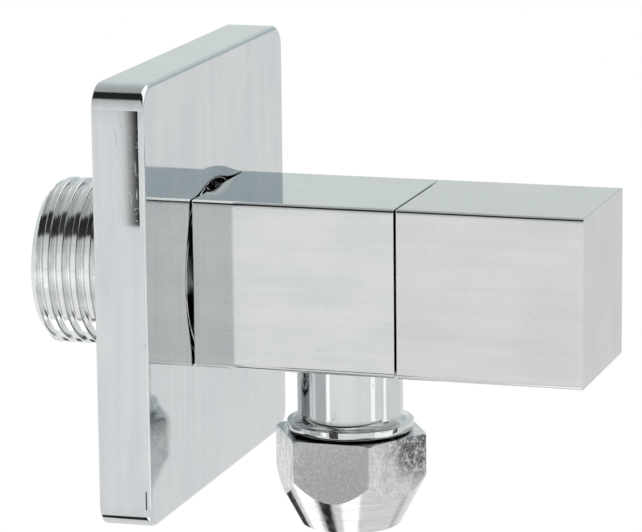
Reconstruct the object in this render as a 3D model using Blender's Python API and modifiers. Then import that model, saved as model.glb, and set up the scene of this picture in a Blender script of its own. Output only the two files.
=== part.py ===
"""Square angle stop valve with a ceramic quarter-turn cartridge, a loose wall flange and a
10 mm compression outlet.

Run with: blender --background --python part.py

World frame, in metres: +Z is up, the wall is the plane Y = 0 with the room on its -Y side, and
X = 0 is the valve's plane of symmetry. The origin is on the wall flange's rear rim, in the middle
of its lower edge.

Pieces on the valve's main axis are drawn in the frame of the empty valve_axis: local z is the
distance out from the wall, local y is up. Pieces on the outlet are drawn in the frame of the empty
outlet_axis: local z is the distance below the main axis, local y points away from the wall.
"""

import math

import bmesh
import bpy
from mathutils import Matrix, Vector

MM = 0.001
PART_NAME = "angle_stop_valve"

# Running clearances
REST_GAP = 0.3 * MM
FACE_GAP = 0.15 * MM
SPLIT_GAP = 0.25 * MM
THREAD_GAP = 0.14 * MM
THREAD_BITE = 0.05 * MM

# Facets round a full turn
ROUND = 32
ROUND_FINE = 48
ROUND_SMALL = 24

# Wall flange: a pressed square cup, open towards the wall
FLANGE_SIDE = 54.0 * MM
FLANGE_DEPTH = 6.5 * MM
FLANGE_SKIN = 1.2 * MM
FLANGE_CORNER = 3.0 * MM
FLANGE_EDGE = 0.65 * MM
FLANGE_HOLE = 11.2 * MM
FLANGE_ROLL_WIDTH = 0.6 * MM
FLANGE_ROLL_DEPTH = 0.6 * MM
FLANGE_SLEEVE_END = 3.6 * MM
AXIS_HEIGHT = FLANGE_SIDE / 2 - FLANGE_SKIN / 2

# Rubber ring that grips the inlet thread behind the flange
GRIP_RING_INNER = 10.85 * MM
GRIP_RING_OUTER = 13.2 * MM
GRIP_RING_START = 1.2 * MM
GRIP_RING_END = 3.3 * MM

# Valve body: square block and threaded inlet
BODY_SIDE = 21.0 * MM
BODY_REAR = FLANGE_DEPTH + FACE_GAP
BODY_FRONT = 32.25 * MM
BODY_EDGE = 0.6 * MM
INLET_LENGTH = 15.0 * MM
INLET_PITCH = 1.814 * MM
INLET_CREST = 10.478 * MM
INLET_ROOT = 9.316 * MM
INLET_THREAD_END = 1.6 * MM
INLET_CHAMFER = 1.1 * MM
INLET_BORE = 6.25 * MM
INLET_BORE_END = 11.5 * MM
SEAT_BORE = 4.6 * MM
SEAT = 14.5 * MM
CHAMBER = 7.6 * MM
CHAMBER_END = 27.9 * MM
HOUSING_SOCKET = 8.0 * MM

# Ceramic cartridge, listed outwards from the seat
SEAL_START = SEAT + REST_GAP
SEAL_END = SEAL_START + 1.6 * MM
SEAL_INNER = 4.9 * MM
SEAL_OUTER = 6.8 * MM
SKIRT_START = SEAL_END + REST_GAP
SKIRT_OUTER = 6.9 * MM
SKIRT_INNER = 6.1 * MM
DISC_RADIUS = SKIRT_INNER - REST_GAP
FIXED_DISC_THICK = 2.4 * MM
MOVING_DISC_THICK = 2.2 * MM
FIXED_DISC_START = SKIRT_START
FIXED_DISC_END = FIXED_DISC_START + FIXED_DISC_THICK
MOVING_DISC_START = FIXED_DISC_END + REST_GAP
MOVING_DISC_END = MOVING_DISC_START + MOVING_DISC_THICK
DRIVER_START = MOVING_DISC_END + REST_GAP
DRIVER_END = DRIVER_START + 2.4 * MM
SLIP_WASHER_THICK = 0.6 * MM
SLIP_WASHER_START = DRIVER_END + REST_GAP
SLIP_WASHER_END = SLIP_WASHER_START + SLIP_WASHER_THICK
SHOULDER = SLIP_WASHER_END + REST_GAP
SHANK_START = CHAMBER_END + REST_GAP
SHANK = 7.7 * MM
GASKET_START = BODY_FRONT + FACE_GAP
GASKET_END = GASKET_START + 0.8 * MM
GASKET_INNER = SHANK + REST_GAP
GASKET_OUTER = 8.7 * MM
COLLAR_START = GASKET_END + FACE_GAP
COLLAR_END = COLLAR_START + 0.8 * MM
COLLAR = 8.7 * MM
HOUSING_HEX_FLATS = 14.0 * MM
HOUSING_HEX_END = COLLAR_END + 2.5 * MM
NECK_END = HOUSING_HEX_END + 2.4 * MM
NECK = 5.7 * MM
SPINDLE_BORE = 4.7 * MM

# Sector openings in the discs, and the travel of the spindle's stop
OPENING_INNER = 1.3 * MM
OPENING_OUTER = 4.5 * MM
OPENING_SWEEP = 78.0
TURN_RANGE = 90.0
STOP_TAB_WIDTH = 2.0 * MM
STOP_TAB_REACH = 6.6 * MM
LUG_WIDTH = 1.8 * MM
LUG_REACH = 1.1 * MM

# Spindle
STEM = 4.4 * MM
SEAL_GROOVE = 2.9 * MM
SEAL_CORD = 0.65 * MM
LOWER_SEAL_AT = 29.3 * MM
UPPER_SEAL_AT = 33.0 * MM
CIRCLIP_GROOVE = 3.4 * MM
CIRCLIP_THICK = 0.7 * MM
CIRCLIP_START = NECK_END + REST_GAP
CIRCLIP_END = CIRCLIP_START + CIRCLIP_THICK
CIRCLIP_OUTER = 5.5 * MM
CIRCLIP_MOUTH = 60.0
SPLINE_TEETH = 16
SPLINE_CREST = 3.9 * MM
SPLINE_ROOT = 3.4 * MM
SPLINE_START = CIRCLIP_END + REST_GAP
SPINDLE_END = 47.8 * MM

# Handle, its splined bush and its fixing screw
HANDLE_REAR = BODY_FRONT + SPLIT_GAP
HANDLE_END = 55.7 * MM
HANDLE_EDGE = 0.6 * MM
HANDLE_CAVITY = 9.2 * MM
HANDLE_CAVITY_END = HOUSING_HEX_END + 0.4 * MM
HANDLE_BORE = 6.3 * MM
HANDLE_BORE_END = 50.0 * MM
ADAPTOR_START = CIRCLIP_END + 0.4 * MM
ADAPTOR_END = HANDLE_BORE_END - REST_GAP
ADAPTOR_RADIUS = HANDLE_BORE - REST_GAP
ADAPTOR_CAP = 1.3 * MM
SET_SCREW_AT = 45.2 * MM
SET_SCREW = 2.0 * MM
SET_SCREW_TOP = 10.0 * MM
SET_SCREW_HEX_FLATS = 2.0 * MM
SET_SCREW_HEX_DEPTH = 1.7 * MM

# Outlet nipple, measured down from the main axis
OUTLET_OUT = 23.5 * MM
OUTLET_BORE = 4.25 * MM
NIPPLE_SOCKET = 5.5 * MM
NIPPLE_SOCKET_START = 8.1 * MM
NIPPLE_STUB = 5.2 * MM
NIPPLE_TOP = NIPPLE_SOCKET_START + REST_GAP
NIPPLE_SHOULDER = BODY_SIDE / 2 + FACE_GAP
NIPPLE_NECK = 6.6 * MM
NIPPLE_COLLAR = 7.9 * MM
NIPPLE_COLLAR_START = 18.4 * MM
NIPPLE_COLLAR_END = 19.5 * MM
NIPPLE_COLLAR_EDGE = 0.35 * MM
NIPPLE_THREAD_START = 20.4 * MM
NIPPLE_END = 26.2 * MM
NIPPLE_PITCH = 1.5 * MM
NIPPLE_CREST = 6.9 * MM
NIPPLE_ROOT = 6.05 * MM
NIPPLE_BORE = 3.8 * MM
TUBE_SOCKET = 5.2 * MM
TUBE_SOCKET_START = 21.1 * MM
NIPPLE_MOUTH = 5.7 * MM
NIPPLE_CONE = 1.4 * MM

# Olive and compression nut
OLIVE_START = NIPPLE_END + REST_GAP
OLIVE_LENGTH = 3.2 * MM
OLIVE_INNER = 5.1 * MM
OLIVE_END_RADIUS = 5.45 * MM
OLIVE_MIDDLE_RADIUS = 5.95 * MM
NUT_START = NIPPLE_COLLAR_END + FACE_GAP
NUT_END = 31.6 * MM
NUT_FLATS = 17.0 * MM
NUT_TIP = 6.3 * MM
NUT_TAPER = 0.52
NUT_TOP_CHAMFER = 0.8 * MM
NUT_ENTRY = 0.9 * MM
NUT_MINOR = 6.3 * MM
NUT_RELIEF = 7.25 * MM
NUT_THREAD_END = 26.7 * MM
NUT_CONE_START = 27.9 * MM
NUT_CONE_END = 30.6 * MM
NUT_CONE_TOP = 6.9 * MM
TUBE_HOLE = 5.25 * MM

FULL_TURN = math.tau


def new_collection(name, hidden=False):
    collection = bpy.data.collections.new(name)
    bpy.context.scene.collection.children.link(collection)
    collection.hide_render = hidden
    return collection


def clear_scene():
    for obj in list(bpy.data.objects):
        bpy.data.objects.remove(obj)


clear_scene()
PIECES = new_collection(PART_NAME)
CUTTERS = new_collection(PART_NAME + "_cutters", hidden=True)


def new_axis(name, location, rotation):
    axis = bpy.data.objects.new(name, None)
    axis.location = location
    axis.rotation_euler = rotation
    axis.empty_display_size = 10 * MM
    PIECES.objects.link(axis)
    return axis


VALVE_AXIS = new_axis("valve_axis", (0, 0, AXIS_HEIGHT), (math.pi / 2, 0, 0))
OUTLET_AXIS = new_axis("outlet_axis", (0, -OUTLET_OUT, AXIS_HEIGHT), (math.pi, 0, 0))


def new_material(name, colour, roughness, metallic):
    material = bpy.data.materials.new(name)
    material.use_nodes = True
    shader = material.node_tree.nodes["Principled BSDF"]
    shader.inputs["Base Color"].default_value = (*colour, 1)
    shader.inputs["Roughness"].default_value = roughness
    shader.inputs["Metallic"].default_value = metallic
    material.diffuse_color = (*colour, 1)
    return material


CHROME = new_material("polished_chrome", (0.80, 0.82, 0.83), 0.06, 1.0)
NUT_CHROME = new_material("machined_chrome", (0.74, 0.75, 0.76), 0.22, 1.0)
BRASS = new_material("turned_brass", (0.78, 0.60, 0.33), 0.30, 1.0)
STEEL = new_material("spring_steel", (0.45, 0.46, 0.48), 0.35, 1.0)
RUBBER = new_material("black_rubber", (0.03, 0.03, 0.03), 0.75, 0.0)
FIBRE = new_material("red_fibre", (0.42, 0.12, 0.08), 0.80, 0.0)
WHITE_CERAMIC = new_material("white_ceramic", (0.88, 0.87, 0.83), 0.20, 0.0)
GREY_CERAMIC = new_material("grey_ceramic", (0.30, 0.31, 0.33), 0.15, 0.0)
NYLON = new_material("white_nylon", (0.85, 0.85, 0.82), 0.45, 0.0)


def mesh_object(name, shape, axis, material=None):
    """A new object from a bmesh, drawn in the frame of an axis. Without a material it is a tool."""
    mesh = bpy.data.meshes.new(name)
    shape.to_mesh(mesh)
    shape.free()
    obj = bpy.data.objects.new(name, mesh)
    obj.parent = axis
    if material:
        mesh.materials.append(material)
        PIECES.objects.link(obj)
    else:
        obj.hide_render = True
        obj.display_type = "WIRE"
        CUTTERS.objects.link(obj)
    return obj


def box(name, axis, low, high, material=None):
    low, high = Vector(low), Vector(high)
    shape = bmesh.new()
    place = Matrix.Translation((low + high) / 2) @ Matrix.Diagonal((*(high - low), 1))
    bmesh.ops.create_cube(shape, size=1, matrix=place)
    return mesh_object(name, shape, axis, material)


def rod(name, axis, radius, start, end, material=None, facets=ROUND, centre=(0, 0)):
    """An upright prism between two local heights: a cylinder, or a hexagon with 6 facets."""
    shape = bmesh.new()
    bmesh.ops.create_cone(
        shape,
        cap_ends=True,
        segments=facets,
        radius1=radius,
        radius2=radius,
        depth=end - start,
        matrix=Matrix.Translation((*centre, (start + end) / 2)),
    )
    return mesh_object(name, shape, axis, material)


def turned(name, axis, profile, material=None, facets=ROUND):
    """A turned piece. The profile's (radius, height) points run down its outer side first. A
    profile that leaves the axis is closed into a ring."""
    shape = bmesh.new()
    points = [shape.verts.new((radius, 0, height)) for radius, height in profile]
    for upper, lower in zip(points, points[1:]):
        shape.edges.new((upper, lower))
    if profile[0][0] > 0:
        shape.edges.new((points[-1], points[0]))
    obj = mesh_object(name, shape, axis, material)
    screw = obj.modifiers.new("turn", "SCREW")
    screw.angle = FULL_TURN
    screw.steps = facets
    screw.render_steps = facets
    screw.use_merge_vertices = True
    screw.merge_threshold = 1e-6
    return bake(obj)


def ring(name, axis, inner, outer, start, end, material=None, facets=ROUND):
    profile = [(outer, end), (outer, start), (inner, start), (inner, end)]
    return turned(name, axis, profile, material, facets)


def sector(name, axis, inner, outer, start, end, middle, sweep):
    """A prism over part of a ring: middle and sweep are angles in degrees."""
    steps = max(2, math.ceil(sweep / 12))
    angles = [math.radians(middle - sweep / 2 + sweep * i / steps) for i in range(steps + 1)]
    corners = [(outer * math.cos(a), outer * math.sin(a), start) for a in angles]
    corners += [(inner * math.cos(a), inner * math.sin(a), start) for a in reversed(angles)]
    shape = bmesh.new()
    floor = shape.faces.new([shape.verts.new(corner) for corner in corners])
    raised = bmesh.ops.extrude_face_region(shape, geom=[floor], use_keep_orig=True)["geom"]
    lifted = [item for item in raised if isinstance(item, bmesh.types.BMVert)]
    bmesh.ops.translate(shape, vec=(0, 0, end - start), verts=lifted)
    bmesh.ops.recalc_face_normals(shape, faces=shape.faces)
    return mesh_object(name, shape, axis)


def star_rod(name, axis, crest, root, teeth, start, end):
    """A splined rod: every other corner of the prism is drawn in to the root."""
    obj = rod(name, axis, crest, start, end, facets=2 * teeth)
    for vertex in obj.data.vertices:
        turn = math.atan2(vertex.co.y, vertex.co.x) / FULL_TURN * 2 * teeth
        if round(turn) % 2:
            vertex.co.x *= root / crest
            vertex.co.y *= root / crest
    return obj


def bake(obj):
    """Replaces the object's mesh by its shape after its modifiers, shaded smooth between facets."""
    bpy.context.view_layer.update()
    graph = bpy.context.evaluated_depsgraph_get()
    mesh = bpy.data.meshes.new_from_object(obj.evaluated_get(graph))
    old = obj.data
    obj.modifiers.clear()
    obj.data = mesh
    bpy.data.meshes.remove(old)
    mesh.name = obj.name
    mesh.shade_smooth()
    mesh.set_sharp_from_angle(angle=math.radians(32))
    return obj


def combine(obj, operation, *tools):
    """Booleans the tools into the object one by one and removes them."""
    for tool in tools:
        boolean = obj.modifiers.new(operation.lower(), "BOOLEAN")
        boolean.operation = operation
        boolean.object = tool
        bake(obj)
        bpy.data.objects.remove(tool)
    return obj


def cut(obj, *tools):
    return combine(obj, "DIFFERENCE", *tools)


def join(obj, *tools):
    return combine(obj, "UNION", *tools)


def bevelled(obj, width, segments=2):
    bevel = obj.modifiers.new("edges", "BEVEL")
    bevel.width = width
    bevel.segments = segments
    bevel.limit_method = "ANGLE"
    return bake(obj)


def thread_ridge(name, axis, inner, outer, widths, pitch, start, end):
    """A right-hand helical ridge, wide at inner and narrow at outer, that covers start to end."""
    wide, narrow = widths
    section = [(inner, -wide / 2), (outer, -narrow / 2), (outer, narrow / 2), (inner, wide / 2)]
    shape = bmesh.new()
    lowest = start - pitch / 2
    corners = [shape.verts.new((radius, 0, lowest + rise)) for radius, rise in section]
    for corner, following in zip(corners, corners[1:] + corners[:1]):
        shape.edges.new((corner, following))
    obj = mesh_object(name, shape, axis)
    screw = obj.modifiers.new("helix", "SCREW")
    screw.angle = FULL_TURN
    screw.screw_offset = pitch
    screw.iterations = math.ceil((end - start) / pitch) + 1
    screw.steps = ROUND_SMALL
    screw.render_steps = ROUND_SMALL
    bake(obj)
    shape = bmesh.new()
    shape.from_mesh(obj.data)
    open_edges = [edge for edge in shape.edges if edge.is_boundary]
    bmesh.ops.holes_fill(shape, edges=open_edges)
    bmesh.ops.recalc_face_normals(shape, faces=shape.faces)
    shape.to_mesh(obj.data)
    shape.free()
    return obj


def tooth_width(radius, crest, root, pitch, crest_width):
    """The width of a V thread's tooth at a radius, where it fills the pitch but for crest_width."""
    wide = pitch - crest_width
    return crest_width + (wide - crest_width) * (crest - radius) / (crest - root)


def arc(centre, radius, start_angle, end_angle, steps):
    """Points of an arc in a profile's (radius, height) plane, angles in degrees."""
    points = []
    for i in range(steps + 1):
        angle = math.radians(start_angle + (end_angle - start_angle) * i / steps)
        points.append((centre[0] + radius * math.cos(angle), centre[1] + radius * math.sin(angle)))
    return points


def wall_flange():
    half = FLANGE_SIDE / 2
    flange = box("wall_flange", VALVE_AXIS, (-half, -half, 0), (half, half, FLANGE_DEPTH), CHROME)
    round_edges(flange, FLANGE_CORNER, FLANGE_EDGE)
    hollow_half = half - FLANGE_SKIN
    hollow_top = FLANGE_DEPTH - FLANGE_SKIN
    hollow = box(
        "flange_hollow",
        VALVE_AXIS,
        (-hollow_half, -hollow_half, -1 * MM),
        (hollow_half, hollow_half, hollow_top),
    )
    round_edges(hollow, FLANGE_CORNER - FLANGE_SKIN, 0)
    sleeve = rod(
        "flange_sleeve",
        VALVE_AXIS,
        FLANGE_HOLE + FLANGE_SKIN,
        FLANGE_SLEEVE_END,
        FLANGE_DEPTH - FLANGE_SKIN / 2,
        facets=ROUND_FINE,
    )
    join(cut(flange, hollow), sleeve)
    # The plate rolls inwards to the hole's rim, within the corners of the body block.
    mouth = FLANGE_HOLE + FLANGE_ROLL_WIDTH
    roll = []
    for across, down in arc((0, 0), 1, 90, 180, 5):
        radius = mouth + FLANGE_ROLL_WIDTH * across
        roll.append((radius, FLANGE_DEPTH - FLANGE_ROLL_DEPTH * (1 - down)))
    top = FLANGE_DEPTH + 1 * MM
    opening = turned(
        "flange_opening",
        VALVE_AXIS,
        [(0, top), (mouth, top), *roll, (FLANGE_HOLE, 0), (0, 0)],
        facets=ROUND_FINE,
    )
    return cut(flange, opening)


def round_edges(obj, upright_radius, front_radius):
    """Rounds a box's four upright edges, and then the rim of its front face."""
    shape = bmesh.new()
    shape.from_mesh(obj.data)
    upright = [e for e in shape.edges if abs(e.verts[0].co.z - e.verts[1].co.z) > MM]
    bmesh.ops.bevel(shape, geom=upright, offset=upright_radius, segments=5, profile=0.5, affect="EDGES")
    if front_radius:
        front = max(vertex.co.z for vertex in shape.verts)
        rim = [e for e in shape.edges if all(abs(v.co.z - front) < 1e-7 for v in e.verts)]
        bmesh.ops.bevel(shape, geom=rim, offset=front_radius, segments=3, profile=0.5, affect="EDGES")
    shape.to_mesh(obj.data)
    shape.free()
    return obj


def flange_grip_ring():
    return ring(
        "flange_grip_ring",
        VALVE_AXIS,
        GRIP_RING_INNER,
        GRIP_RING_OUTER,
        GRIP_RING_START,
        GRIP_RING_END,
        RUBBER,
    )


def inlet_spigot():
    """The threaded inlet, as a tool that is joined to the body block."""
    core_end = BODY_REAR + 1 * MM
    core = rod("inlet_core", VALVE_AXIS, INLET_ROOT, -INLET_LENGTH, core_end, facets=ROUND_SMALL)
    crest_width = INLET_PITCH / 6
    inner = INLET_ROOT - THREAD_BITE
    ridge = thread_ridge(
        "inlet_ridge",
        VALVE_AXIS,
        inner,
        INLET_CREST,
        (tooth_width(inner, INLET_CREST, INLET_ROOT, INLET_PITCH, crest_width), crest_width),
        INLET_PITCH,
        -INLET_LENGTH,
        INLET_THREAD_END,
    )
    rim = INLET_CREST + 0.2 * MM
    limits = turned(
        "inlet_limits",
        VALVE_AXIS,
        [
            (0, INLET_THREAD_END),
            (rim - INLET_CHAMFER, INLET_THREAD_END),
            (rim, INLET_THREAD_END - INLET_CHAMFER),
            (rim, INLET_CHAMFER - INLET_LENGTH),
            (rim - INLET_CHAMFER - 0.1 * MM, 0.05 * MM - INLET_LENGTH),
            (0, 0.05 * MM - INLET_LENGTH),
        ],
        facets=ROUND_SMALL,
    )
    combine(ridge, "INTERSECT", limits)
    return join(core, ridge)


def valve_body():
    half = BODY_SIDE / 2
    body = box("valve_body", VALVE_AXIS, (-half, -half, BODY_REAR), (half, half, BODY_FRONT), CHROME)
    bevelled(body, BODY_EDGE)
    join(body, inlet_spigot())
    waterway = turned(
        "body_waterway",
        VALVE_AXIS,
        [
            (0, BODY_FRONT + 1 * MM),
            (HOUSING_SOCKET, BODY_FRONT + 1 * MM),
            (HOUSING_SOCKET, CHAMBER_END),
            (CHAMBER, CHAMBER_END),
            (CHAMBER, SEAT),
            (SEAT_BORE, SEAT),
            (SEAT_BORE, INLET_BORE_END),
            (INLET_BORE, INLET_BORE_END),
            (INLET_BORE, -INLET_LENGTH - 1 * MM),
            (0, -INLET_LENGTH - 1 * MM),
        ],
    )
    outlet = turned(
        "body_outlet",
        OUTLET_AXIS,
        [
            (0, half + 1 * MM),
            (NIPPLE_SOCKET, half + 1 * MM),
            (NIPPLE_SOCKET, NIPPLE_SOCKET_START),
            (OUTLET_BORE, NIPPLE_SOCKET_START),
            (OUTLET_BORE, 3 * MM),
            (0, 3 * MM),
        ],
    )
    return cut(body, waterway, outlet)


def seat_seal():
    return ring("seat_seal", VALVE_AXIS, SEAL_INNER, SEAL_OUTER, SEAL_START, SEAL_END, RUBBER)


def disc_openings(start, end, middle):
    tools = []
    for side in (0, 180):
        name = f"disc_opening_{side}"
        tools.append(
            sector(name, VALVE_AXIS, OPENING_INNER, OPENING_OUTER, start, end, middle + side, OPENING_SWEEP)
        )
    return tools


def rim_block(name, inner, outer, width, start, end, angle):
    """A block that stands out along a radius, turned to an angle in degrees."""
    block = box(name, VALVE_AXIS, (inner, -width / 2, start), (outer, width / 2, end))
    block.data.transform(Matrix.Rotation(math.radians(angle), 4, "Z"))
    return block


def fixed_disc():
    """Openings left and right. Two rim lugs stop it from turning in the housing's skirt."""
    disc = rod("fixed_disc", VALVE_AXIS, DISC_RADIUS, FIXED_DISC_START, FIXED_DISC_END, WHITE_CERAMIC)
    for angle in (0, 180):
        lug_end = FIXED_DISC_END - 0.8 * MM
        lug = rim_block("disc_lug", 5 * MM, 6.7 * MM, 1.8 * MM, FIXED_DISC_START, lug_end, angle)
        join(disc, lug)
    return cut(disc, *disc_openings(FIXED_DISC_START - MM, FIXED_DISC_END + MM, 0))


def moving_disc():
    """Openings above and below, so that it shuts the fixed disc until it has turned. Two notches
    in its outer face take the spindle's lugs."""
    disc = rod("moving_disc", VALVE_AXIS, DISC_RADIUS, MOVING_DISC_START, MOVING_DISC_END, GREY_CERAMIC)
    cut(disc, *disc_openings(MOVING_DISC_START - MM, MOVING_DISC_END + MM, 90))
    for angle in (0, 180):
        notch_start = MOVING_DISC_END - LUG_REACH - REST_GAP
        width = LUG_WIDTH + 2 * REST_GAP
        cut(disc, rim_block("disc_notch", 3.2 * MM, 7 * MM, width, notch_start, DRIVER_START, angle))
    return disc


def spindle():
    """Driver with stop tab and lugs, sealed stem, circlip groove and splined end."""
    profile = [(0, SPINDLE_END - 0.4 * MM), (SPLINE_ROOT - 0.3 * MM, SPINDLE_END - 0.4 * MM)]
    profile += [(SPLINE_ROOT - 0.3 * MM, SPLINE_START), (STEM, SPLINE_START)]
    profile += [(STEM, CIRCLIP_END + 0.2 * MM), (CIRCLIP_GROOVE, CIRCLIP_END + 0.2 * MM)]
    profile += [(CIRCLIP_GROOVE, CIRCLIP_START - 0.2 * MM), (STEM, CIRCLIP_START - 0.2 * MM)]
    half_groove = SEAL_CORD + 0.25 * MM
    for middle in (UPPER_SEAL_AT, LOWER_SEAL_AT):
        profile += [(STEM, middle + half_groove), (SEAL_GROOVE, middle + half_groove)]
        profile += [(SEAL_GROOVE, middle - half_groove), (STEM, middle - half_groove)]
    profile += [(STEM, DRIVER_END), (DISC_RADIUS, DRIVER_END)]
    profile += [(DISC_RADIUS, DRIVER_START), (0, DRIVER_START)]
    shaft = turned("spindle", VALVE_AXIS, profile, BRASS)
    splines = star_rod(
        "splines",
        VALVE_AXIS,
        SPLINE_CREST,
        SPLINE_ROOT,
        SPLINE_TEETH,
        SPLINE_START - 0.1 * MM,
        SPINDLE_END,
    )
    join(shaft, splines)
    for angle in (0, 180):
        lug_start = MOVING_DISC_END - LUG_REACH
        lug = rim_block("lug", 3.5 * MM, 5.4 * MM, LUG_WIDTH, lug_start, DRIVER_START + 0.5 * MM, angle)
        join(shaft, lug)
    tab_angle = -90 - TURN_RANGE / 2
    tab_start = DRIVER_START + 0.3 * MM
    tab_end = DRIVER_END - 0.3 * MM
    tab = rim_block("stop_tab", 5 * MM, STOP_TAB_REACH, STOP_TAB_WIDTH, tab_start, tab_end, tab_angle)
    return join(shaft, tab)


def slip_washer():
    start, end = SLIP_WASHER_START, SLIP_WASHER_END
    return ring("slip_washer", VALVE_AXIS, STEM + REST_GAP, DISC_RADIUS, start, end, NYLON)


def o_ring(name, middle):
    radius = SEAL_GROOVE + REST_GAP / 2 + SEAL_CORD
    profile = arc((radius, middle), SEAL_CORD, 90, 90 - 360 * 9 / 10, 9)
    return turned(name, VALVE_AXIS, profile, RUBBER, ROUND_SMALL)


def cartridge_housing():
    profile = [(NECK, NECK_END), (NECK, COLLAR_END), (COLLAR, COLLAR_END)]
    profile += [(COLLAR, COLLAR_START), (SHANK, COLLAR_START), (SHANK, SHANK_START)]
    profile += [(SKIRT_OUTER, SHANK_START), (SKIRT_OUTER, SKIRT_START)]
    profile += [(SKIRT_INNER, SKIRT_START), (SKIRT_INNER, SHOULDER)]
    profile += [(SPINDLE_BORE, SHOULDER), (SPINDLE_BORE, NECK_END)]
    housing = turned("cartridge_housing", VALVE_AXIS, profile, BRASS)
    hexagon = rod(
        "housing_hex",
        VALVE_AXIS,
        HOUSING_HEX_FLATS / math.sqrt(3),
        COLLAR_END - 0.1 * MM,
        HOUSING_HEX_END,
        facets=6,
    )
    cut(hexagon, rod("hex_bore", VALVE_AXIS, NECK - 0.4 * MM, COLLAR_START, NECK_END))
    join(housing, hexagon)
    tab_half_angle = math.degrees(math.asin(STOP_TAB_WIDTH / 2 / SKIRT_INNER))
    slack = math.degrees(REST_GAP / SKIRT_INNER)
    window_sweep = TURN_RANGE + 2 * (tab_half_angle + slack)
    for middle in (-90, 90):
        window_end = DRIVER_END + REST_GAP
        window = sector(
            "window",
            VALVE_AXIS,
            SKIRT_INNER - 0.5 * MM,
            SKIRT_OUTER + 0.5 * MM,
            MOVING_DISC_START + 0.6 * MM,
            window_end,
            middle,
            window_sweep,
        )
        cut(housing, window)
    for angle in (0, 180):
        slot_end = FIXED_DISC_END - 0.5 * MM
        slot = rim_block("lug_slot", 5.5 * MM, 8 * MM, 2.4 * MM, SKIRT_START - MM, slot_end, angle)
        cut(housing, slot)
    return housing


def housing_gasket():
    return ring(
        "housing_gasket",
        VALVE_AXIS,
        GASKET_INNER,
        GASKET_OUTER,
        GASKET_START,
        GASKET_END,
        FIBRE,
    )


def spindle_circlip():
    inner = CIRCLIP_GROOVE + 0.2 * MM
    clip = ring("spindle_circlip", VALVE_AXIS, inner, CIRCLIP_OUTER, CIRCLIP_START, CIRCLIP_END, STEEL)
    mouth = sector(
        "circlip_mouth",
        VALVE_AXIS,
        1 * MM,
        7 * MM,
        CIRCLIP_START - MM,
        CIRCLIP_END + MM,
        90,
        CIRCLIP_MOUTH,
    )
    return cut(clip, mouth)


def handle():
    half = BODY_SIDE / 2
    knob = box("handle", VALVE_AXIS, (-half, -half, HANDLE_REAR), (half, half, HANDLE_END), CHROME)
    bevelled(knob, HANDLE_EDGE)
    hollow = turned(
        "handle_hollow",
        VALVE_AXIS,
        [
            (0, HANDLE_BORE_END),
            (HANDLE_BORE, HANDLE_BORE_END),
            (HANDLE_BORE, HANDLE_CAVITY_END),
            (HANDLE_CAVITY, HANDLE_CAVITY_END),
            (HANDLE_CAVITY, HANDLE_REAR - MM),
            (0, HANDLE_REAR - MM),
        ],
    )
    screw_hole = rod(
        "screw_hole",
        VALVE_AXIS,
        SET_SCREW + REST_GAP,
        HANDLE_BORE - MM,
        half + MM,
        facets=ROUND_SMALL,
    )
    screw_hole.data.transform(across_the_handle())
    return cut(knob, hollow, screw_hole)


def across_the_handle():
    """Turns a prism drawn along local z so that it points down through the handle's underside."""
    return Matrix.Translation((0, 0, SET_SCREW_AT)) @ Matrix.Rotation(math.pi / 2, 4, "X")


def handle_set_screw():
    tip = ADAPTOR_RADIUS + FACE_GAP
    screw = rod("handle_set_screw", VALVE_AXIS, SET_SCREW, tip, SET_SCREW_TOP, STEEL, ROUND_SMALL)
    socket = rod(
        "screw_socket",
        VALVE_AXIS,
        SET_SCREW_HEX_FLATS / math.sqrt(3),
        SET_SCREW_TOP - SET_SCREW_HEX_DEPTH,
        SET_SCREW_TOP + MM,
        facets=6,
    )
    cut(screw, socket)
    screw.data.transform(across_the_handle())
    return screw


def spline_adaptor():
    bush = rod("spline_adaptor", VALVE_AXIS, ADAPTOR_RADIUS, ADAPTOR_START, ADAPTOR_END, NYLON)
    splines = star_rod(
        "adaptor_splines",
        VALVE_AXIS,
        SPLINE_CREST + REST_GAP,
        SPLINE_ROOT + REST_GAP,
        SPLINE_TEETH,
        ADAPTOR_START - 2 * MM,
        ADAPTOR_END - ADAPTOR_CAP,
    )
    stem_relief = rod(
        "adaptor_relief",
        VALVE_AXIS,
        STEM + REST_GAP,
        ADAPTOR_START - MM,
        SPLINE_START + REST_GAP,
    )
    return cut(bush, splines, stem_relief)


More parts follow.
